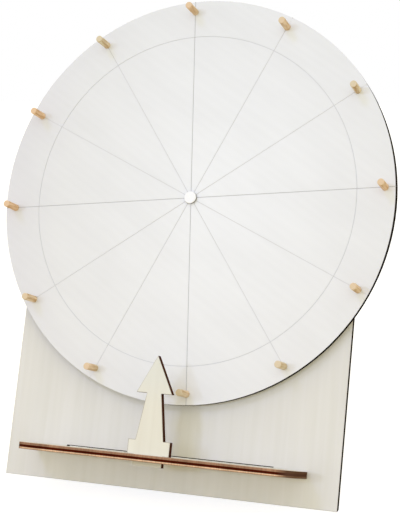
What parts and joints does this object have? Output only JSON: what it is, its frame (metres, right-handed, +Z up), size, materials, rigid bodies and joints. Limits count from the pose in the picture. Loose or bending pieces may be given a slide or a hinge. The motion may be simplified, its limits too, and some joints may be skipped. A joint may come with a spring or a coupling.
{
  "type": "carnival prize wheel",
  "caption": "Table-top plywood prize wheel with dowel pegs that spins on a leaning board, with an arrow pointer standing on a shelf in front of it.",
  "frame": {"origin": "on the table at the middle of the back board's level foot", "axes": "+Z up, +Y towards the back, so the wheel faces -Y, and +X to the right as seen from the front"},
  "size_m": [0.381, 0.1752, 0.4405],
  "materials": {
    "birch_plywood": "bare, laser cut",
    "dowel_wood": "bare",
    "white_nylon": "moulded",
    "zinc_steel": "zinc plated"
  },
  "bodies": {
    "stand": {"back_board": "birch_plywood", "cross_shelf": "birch_plywood", "pointer_arrow": "birch_plywood", "axle_post": "white_nylon", "axle_screw": "white_nylon", "wheel_spacer": "white_nylon", "back_washer": "zinc_steel"},
    "wheel": {"wheel_disc": "birch_plywood", "peg_01": "dowel_wood", "peg_02": "dowel_wood", "peg_03": "dowel_wood", "peg_04": "dowel_wood", "peg_05": "dowel_wood", "peg_06": "dowel_wood", "peg_07": "dowel_wood", "peg_08": "dowel_wood", "peg_09": "dowel_wood", "peg_10": "dowel_wood", "peg_11": "dowel_wood", "peg_12": "dowel_wood"}
  },
  "joints": [
    {"name": "wheel_spin", "type": "hinge", "parent": "stand", "child": "wheel", "pos_m": [0, 0.07079, 0.25766], "axis": [0, -0.955, 0.2965], "continuous": true}
  ]
}
